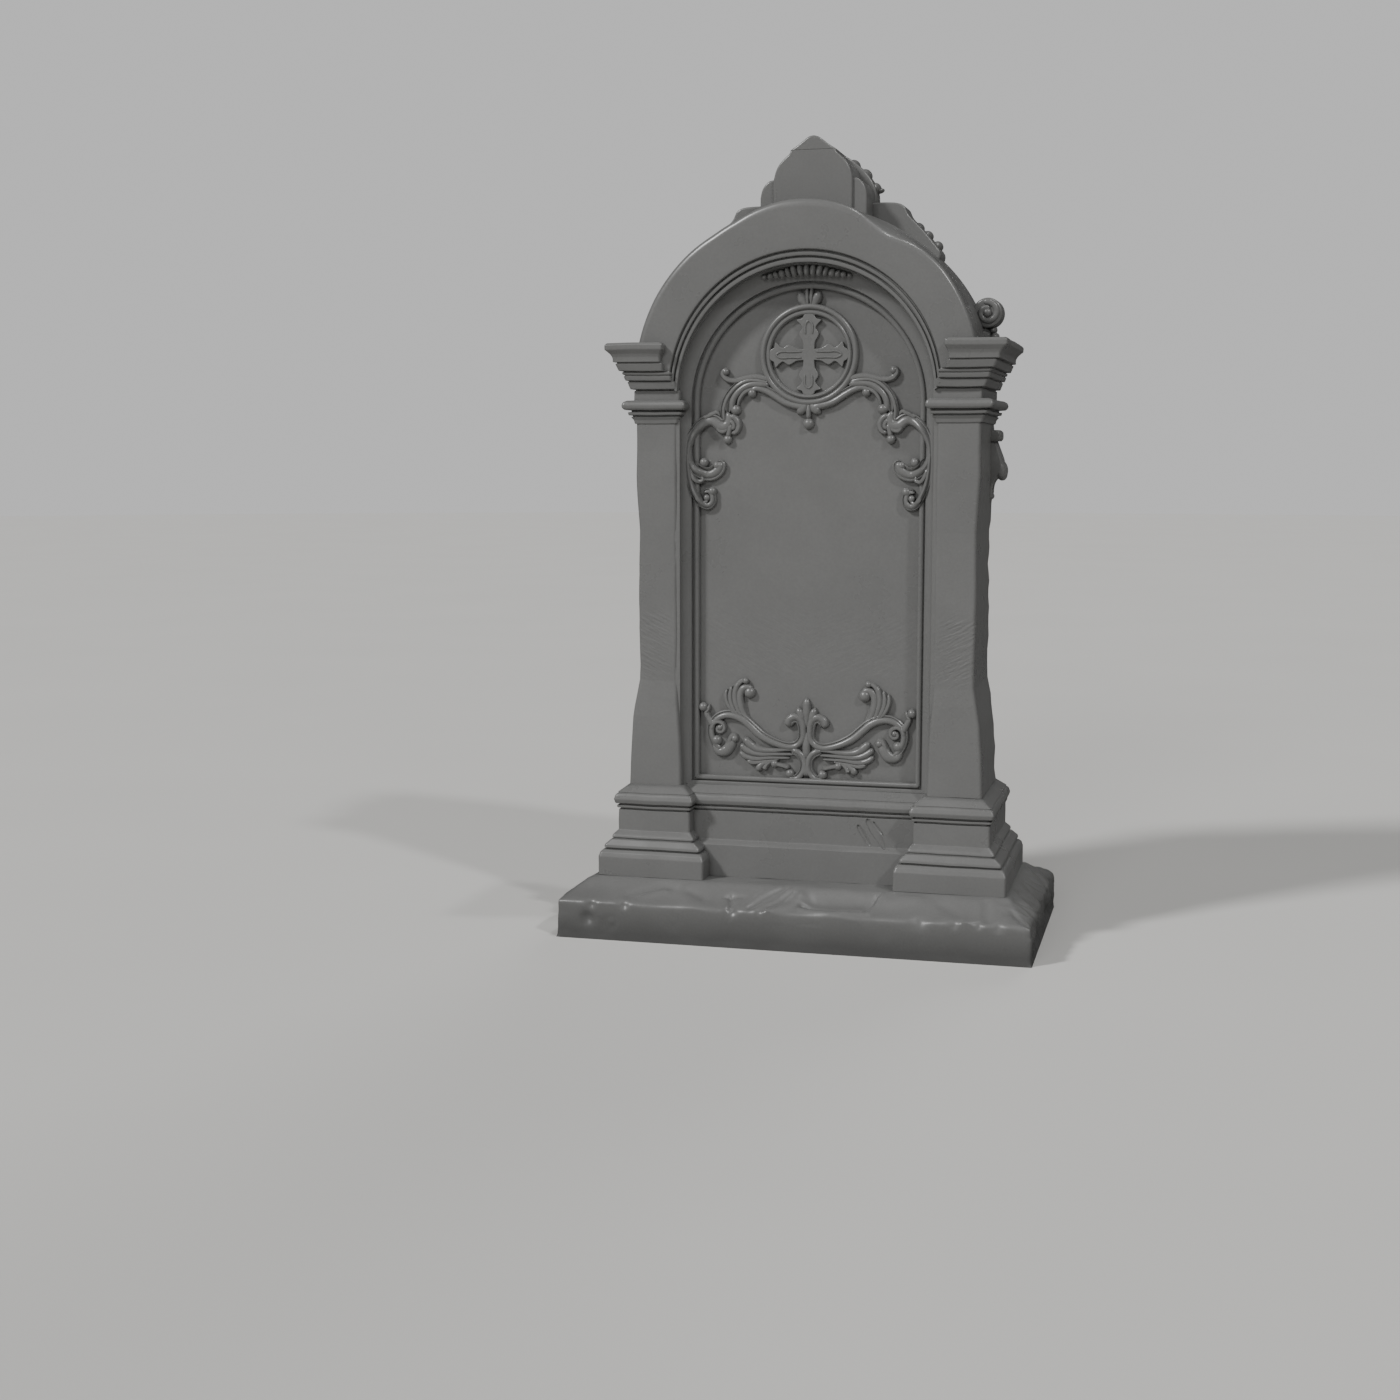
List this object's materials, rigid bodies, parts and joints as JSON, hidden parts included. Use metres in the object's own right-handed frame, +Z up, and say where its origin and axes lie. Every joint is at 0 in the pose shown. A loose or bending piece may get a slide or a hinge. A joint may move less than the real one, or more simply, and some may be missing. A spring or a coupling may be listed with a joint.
{
  "type": "headstone",
  "caption": "Carved grey stone headstone: arched sunk tablet between moulded piers, with scrollwork, a cross medallion and a leafy crest, on a plinth and rough ground slab.",
  "frame": {"origin": "middle of the ground slab's underside", "axes": "+Z up, +X to the right as seen by a visitor, and the tablet faces -Y"},
  "size_m": [0.958, 0.53, 1.598],
  "materials": {
    "tooled_stone": "rough hewn, weathered",
    "carved_stone": "carved and rubbed smooth, worn arrises"
  },
  "bodies": {
    "root": {"base_slab": "tooled_stone", "plinth": "carved_stone", "headstone": "carved_stone"}
  },
  "joints": []
}
